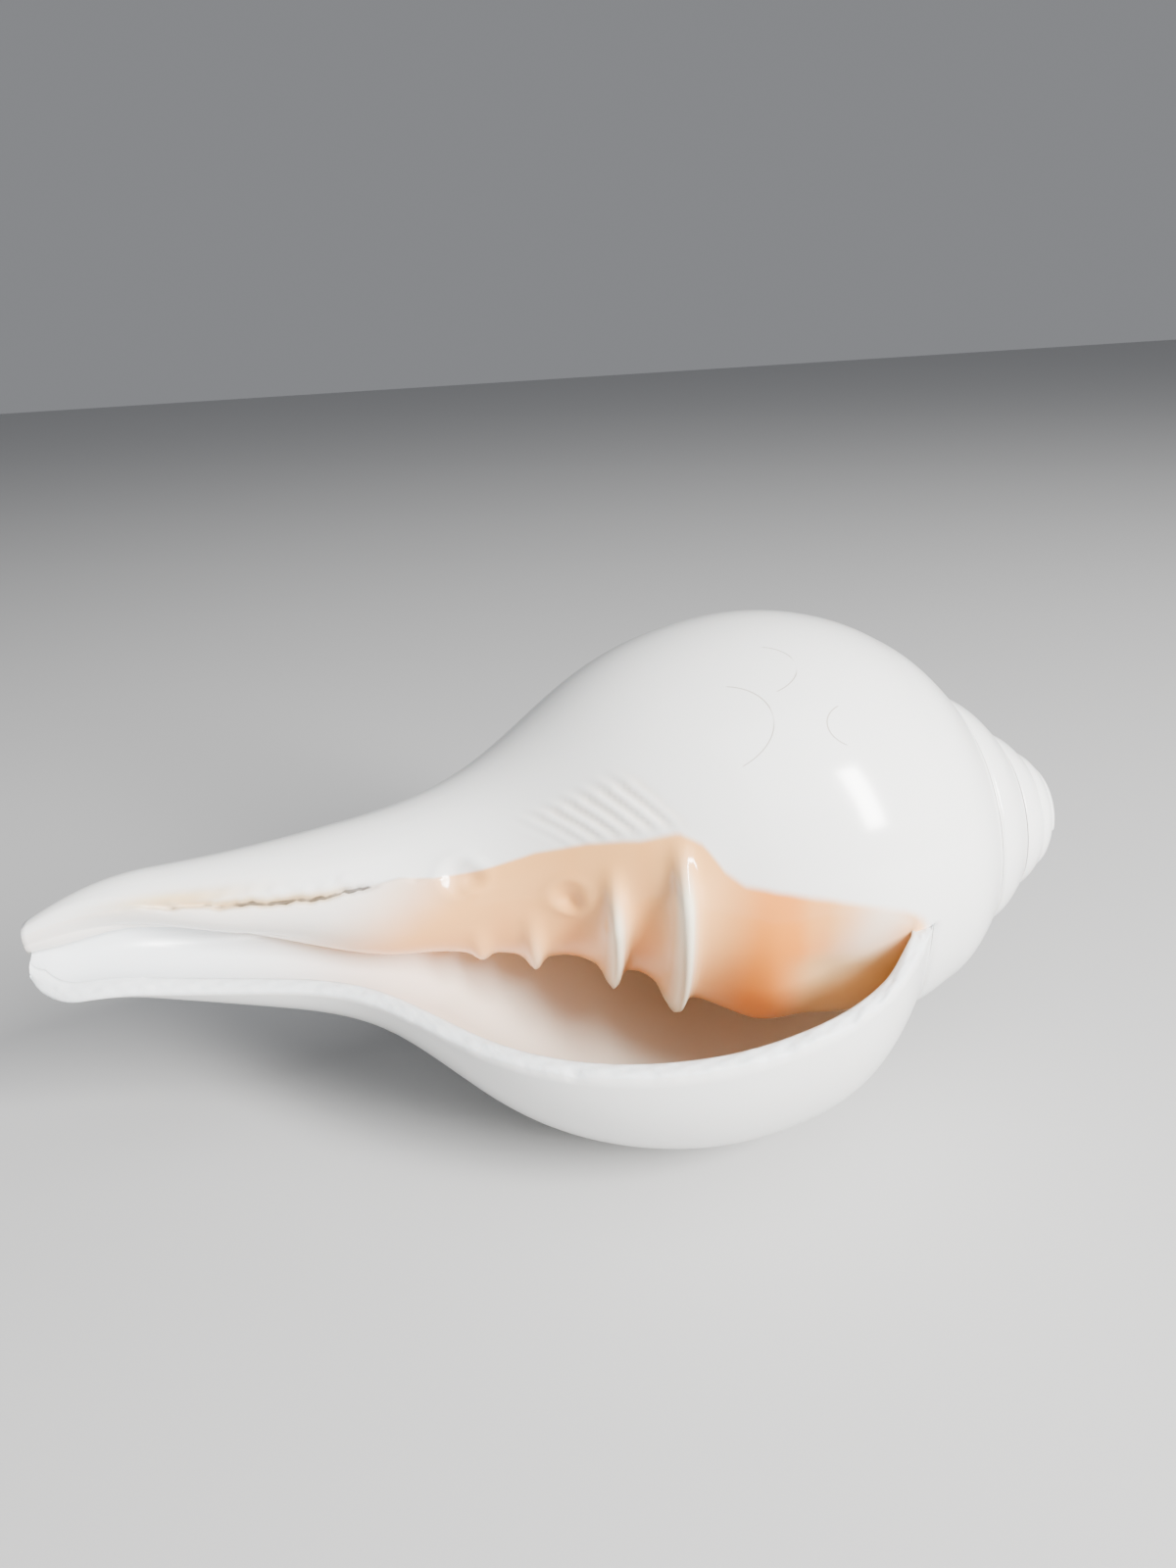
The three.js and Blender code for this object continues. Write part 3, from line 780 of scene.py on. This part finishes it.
def make_shell():
    sheets = make_sheets()
    every = np.concatenate([places.reshape(-1, 3) for places, _, _ in sheets.values()])
    low, high = every.min(axis=0), every.max(axis=0)
    ground = low[2] + FOOT_FLAT
    centre = np.array([(low[0] + high[0]) / 2, (low[1] + high[1]) / 2, ground])
    deselect_all()
    made = []
    for name, (places, phi, z) in sheets.items():
        moved = places - centre
        moved[..., 2] = np.maximum(moved[..., 2], 0)
        made.append(grid_sheet(name, moved * MM, make_marks(name, phi, z)))
    deselect_all()
    for sheet in made:
        sheet.select_set(True)
    bpy.context.view_layer.objects.active = made[0]
    bpy.ops.object.join()
    shell = bpy.context.object
    shell.name = "polished_shell"
    bpy.ops.object.mode_set(mode="EDIT")
    bpy.ops.mesh.select_all(action="SELECT")
    bpy.ops.mesh.remove_doubles(threshold=1e-6)
    bpy.ops.mesh.dissolve_degenerate(threshold=1e-7)
    bpy.ops.mesh.normals_make_consistent(inside=False)
    bpy.ops.mesh.select_all(action="DESELECT")
    bpy.ops.object.mode_set(mode="OBJECT")
    bpy.ops.object.shade_smooth()
    return shell


# The camera, at the photograph's viewing angle: its place from the apex in metres, the directions to its
# right, up and back, and its lens and sensor in mm.
EYE_FROM_APEX = (-0.088476, -0.168598, 0.077198)
EYE_RIGHT = (0.9929, -0.1051, -0.0558)
EYE_UP = (0.0899, 0.3547, 0.9307)
EYE_BACK = (-0.0780, -0.9291, 0.3616)
FOCAL_LENGTH = 27.05
SENSOR = 36


def make_camera(apex):
    data = bpy.data.cameras.new("camera")
    data.sensor_width = SENSOR
    data.sensor_fit = "AUTO"
    data.lens = FOCAL_LENGTH
    data.clip_start = 0.01
    camera = bpy.data.objects.new("camera", data)
    bpy.context.scene.collection.objects.link(camera)
    turned = Matrix((EYE_RIGHT, EYE_UP, EYE_BACK)).transposed().to_4x4()
    camera.matrix_world = Matrix.Translation(Vector(apex) + Vector(EYE_FROM_APEX)) @ turned
    bpy.context.scene.camera = camera


def area_light(name, place, target, size, power, colour):
    data = bpy.data.lights.new(name, "AREA")
    data.shape = "RECTANGLE"
    data.size, data.size_y = size
    data.energy = power
    data.color = colour
    light = bpy.data.objects.new(name, data)
    bpy.context.scene.collection.objects.link(light)
    aim = (Vector(target) - Vector(place)).to_track_quat("-Z", "Y").to_matrix().to_4x4()
    light.matrix_world = Matrix.Translation(Vector(place)) @ aim


# A plain floor under an even grey world.
FLOOR_SIZE = 6
FLOOR_COLOUR = (0.5, 0.5, 0.5, 1)
FLOOR_ROUGHNESS = 0.6
WORLD_COLOUR = (0.93, 0.95, 1, 1)
WORLD_STRENGTH = 0.27

# The lights: name, place and what each faces in metres, width and height, power in watts, and colour.
LIGHTS = [
    ("window", (0.4, -0.54, 0.42), (0.02, 0, 0.04), (0.13, 0.38), 23, (1, 0.985, 0.96)),
    ("sky", (0.15, -0.5, 0.75), (0, 0, 0.04), (0.8, 0.8), 6.5, (0.96, 0.98, 1)),
]


def make_studio():
    deselect_all()
    bpy.ops.mesh.primitive_plane_add(size=FLOOR_SIZE, location=(0, 0, 0))
    floor = bpy.context.object
    floor.name = "floor"
    material = bpy.data.materials.new("pale floor")
    material.use_nodes = True
    principled = material.node_tree.nodes["Principled BSDF"]
    principled.inputs["Base Color"].default_value = FLOOR_COLOUR
    principled.inputs["Roughness"].default_value = FLOOR_ROUGHNESS
    floor.data.materials.append(material)
    world = bpy.context.scene.world or bpy.data.worlds.new("studio")
    bpy.context.scene.world = world
    world.use_nodes = True
    background = world.node_tree.nodes["Background"]
    background.inputs["Color"].default_value = WORLD_COLOUR
    background.inputs["Strength"].default_value = WORLD_STRENGTH
    for light in LIGHTS:
        area_light(*light)


class Value:
    """A shader socket that Python's operators work on."""

    def __init__(self, maker, socket):
        self.maker = maker
        self.socket = socket

    def math(self, operation, first, second=None):
        inputs = {0: first} if second is None else {0: first, 1: second}
        return self.maker.node("ShaderNodeMath", {"operation": operation}, inputs)

    def __add__(self, other):
        return self.math("ADD", self, other)

    def __radd__(self, other):
        return self.math("ADD", other, self)

    def __sub__(self, other):
        return self.math("SUBTRACT", self, other)

    def __rsub__(self, other):
        return self.math("SUBTRACT", other, self)

    def __mul__(self, other):
        return self.math("MULTIPLY", self, other)

    def __rmul__(self, other):
        return self.math("MULTIPLY", other, self)

    def __pow__(self, other):
        return self.math("POWER", self, other)

    def absolute(self):
        return self.math("ABSOLUTE", self)

    def root(self):
        return self.math("SQRT", self)

    def rises(self, low, high):
        """0 below low, 1 above high, smooth between them."""
        settings = {"interpolation_type": "SMOOTHSTEP", "clamp": True}
        values = {"Value": self, "From Min": low, "From Max": high}
        return self.maker.node("ShaderNodeMapRange", settings, values)


class Finish:
    """The nodes of one material."""

    def __init__(self, name):
        self.material = bpy.data.materials.new(name)
        self.material.use_nodes = True
        self.tree = self.material.node_tree
        self.surface = self.tree.nodes["Principled BSDF"]

    def node(self, kind, settings, inputs, output=0):
        made = self.tree.nodes.new(kind)
        for name, value in settings.items():
            setattr(made, name, value)
        for name, value in inputs.items():
            self.feed(made.inputs[name], value)
        return Value(self, made.outputs[output])

    def feed(self, socket, value):
        if isinstance(value, Value):
            self.tree.links.new(value.socket, socket)
        elif isinstance(value, tuple) and len(value) == 3 and socket.type == "RGBA":
            socket.default_value = (*value, 1)
        else:
            socket.default_value = value

    def set(self, name, value):
        self.feed(self.surface.inputs[name], value)

    def attribute(self, name):
        return self.node("ShaderNodeAttribute", {"attribute_name": name}, {}, "Fac")

    def place(self):
        return self.node("ShaderNodeTexCoord", {}, {}, "Object")

    def mix(self, first, second, share):
        """Two colours, mixed by share."""
        return self.node("ShaderNodeMix", {"data_type": "RGBA"}, {0: share, 6: first, 7: second}, 2)

    def noise(self, where, scale, detail=2.0, roughness=0.5):
        inputs = {"Vector": where, "Scale": scale, "Detail": detail, "Roughness": roughness}
        return self.node("ShaderNodeTexNoise", {}, inputs, "Fac")

    def join(self, x, y, z):
        return self.node("ShaderNodeCombineXYZ", {}, {0: x, 1: y, 2: z})


# Colours, as linear shares of light.
PORCELAIN = (0.88, 0.88, 0.86)
IVORY = (0.85, 0.79, 0.70)
BLUISH = (0.80, 0.85, 0.89)
PEACH = (0.92, 0.46, 0.16)
ORANGE = (0.88, 0.29, 0.03)
CREAM = (0.99, 0.93, 0.74)
ROSE = (0.90, 0.79, 0.68)
# Tan painted shade for the lining's middle.
SHADE_TAN = (0.70, 0.61, 0.49)
CHALK = (0.84, 0.87, 0.88)
AMBER = (0.78, 0.55, 0.26)
# Painted shade in the sutures and along the seam.
CREASE_SHADE_COLOUR = (0.05, 0.035, 0.025)
HAIR = (0.20, 0.12, 0.06)

# How the polish shines and lets light in.
POLISH_ROUGHNESS = 0.16
INDEX_OF_REFRACTION = 1.53
LIGHT_INWARDS = 0.12
LIGHT_REACHES = (0.004, 0.0025, 0.0018)

# Hair-thin cracks on the back: the middle of each curve along the axis and across, its radius, and its run
# along. HAIR_RADIUS is the back's radius, which turns an angle into a distance across.
HAIR_RADIUS = 44
HAIR_HALF_WIDTH = 0.05
HAIR_FADES_AT = 0.14
HAIRS = [(65, 44, 9.4, 55.4, 60.5), (44, 41, 4.6, 46.2, 48.6), (57, 55, 6.5, 50.5, 54)]


def make_polished_shell():
    finish = Finish("polished shell")
    where = finish.place()
    callus = finish.attribute("callus")
    warm = finish.attribute("warm")
    inside = finish.attribute("inside")
    crest = finish.attribute("crest")
    rim = finish.attribute("rim")
    canal = finish.attribute("canal")
    crevice = finish.attribute("crevice")
    stain = finish.attribute("stain")
    along = finish.attribute("along")
    turned = finish.attribute("turned")

    growth = finish.join(turned * 40, along * 0.03, 0.0)
    streaks = finish.noise(growth, 1.0, 3.0, 0.6)
    cloud = finish.noise(where, 22.0, 3.0)
    fine = finish.noise(where, 160.0, 2.0)
    outside = finish.mix(PORCELAIN, IVORY, (cloud * 0.5 + streaks * 0.5).rises(0.52, 0.8) * 0.35)

    # The deeper orange between the folds is partly painted shade.
    peach = finish.mix(PEACH, ORANGE, (warm + (cloud - 0.5) * 0.5).rises(0.1, 1.0))
    peach = finish.mix(peach, CREAM, crest)
    peach = finish.mix(peach, ROSE, finish.attribute("pale"))
    outside = finish.mix(outside, IVORY, finish.attribute("ridged") * 0.8)
    ragged = (callus + (fine - 0.5) * 0.16 + (cloud - 0.5) * 0.2).rises(0.3, 0.7)
    colour = finish.mix(outside, peach, ragged * finish.attribute("tint"))

    # The tan on the lining is painted shade.
    lining = finish.mix(ROSE, SHADE_TAN, warm)
    lining = finish.mix(lining, AMBER, finish.attribute("pale") * 0.8)
    lining = finish.mix(lining, BLUISH, canal)
    colour = finish.mix(colour, lining, inside)
    chips = finish.noise(where, 900.0, 2.0)
    colour = finish.mix(colour, CHALK, rim * (0.75 + chips * 0.5).rises(0.6, 1.0))
    colour = finish.mix(colour, AMBER, stain * (0.55 + cloud * 0.6))
    # The sutures and the seam are darkened with painted shade.
    colour = finish.mix(colour, CREASE_SHADE_COLOUR, (crevice + (fine - 0.5) * 0.25).rises(0.45, 0.9) * 0.85)
    across = (turned + 1.0) * (TURN * HAIR_RADIUS)
    for middle_along, middle_across, curve, low, high in HAIRS:
        apart = ((along - middle_along) ** 2.0 + (across - middle_across) ** 2.0).root()
        line = 1.0 - (apart - curve).absolute().rises(HAIR_HALF_WIDTH, HAIR_FADES_AT)
        ends = along.rises(low, low + 0.5) * (1.0 - along.rises(high, high + 0.5))
        near = 1.0 - apart.rises(2 * curve, 2.2 * curve)
        colour = finish.mix(colour, HAIR, line * ends * near * 0.6)
    finish.set("Base Color", colour)
    rougher = rim * 0.3 + (cloud - 0.5) * 0.06 + inside * 0.05 + crevice * 0.4
    finish.set("Roughness", POLISH_ROUGHNESS + rougher)
    finish.set("Subsurface Weight", LIGHT_INWARDS)
    finish.set("Subsurface Radius", LIGHT_REACHES)
    finish.set("IOR", INDEX_OF_REFRACTION)
    waves = finish.noise(where, 75.0, 1.0)
    height = waves * 0.35 + streaks * 0.25 + chips * rim * 0.6
    bump = finish.node("ShaderNodeBump", {}, {"Height": height, "Strength": 0.12, "Distance": 0.001})
    finish.set("Normal", bump)
    return finish.material


shell = make_shell()
shell.data.materials.clear()
shell.data.materials.append(make_polished_shell())
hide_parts("shell")
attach(shell, "root")

apex = max((v.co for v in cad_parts["shell"].data.vertices), key=lambda co: co.x)
make_camera(apex)
make_studio()
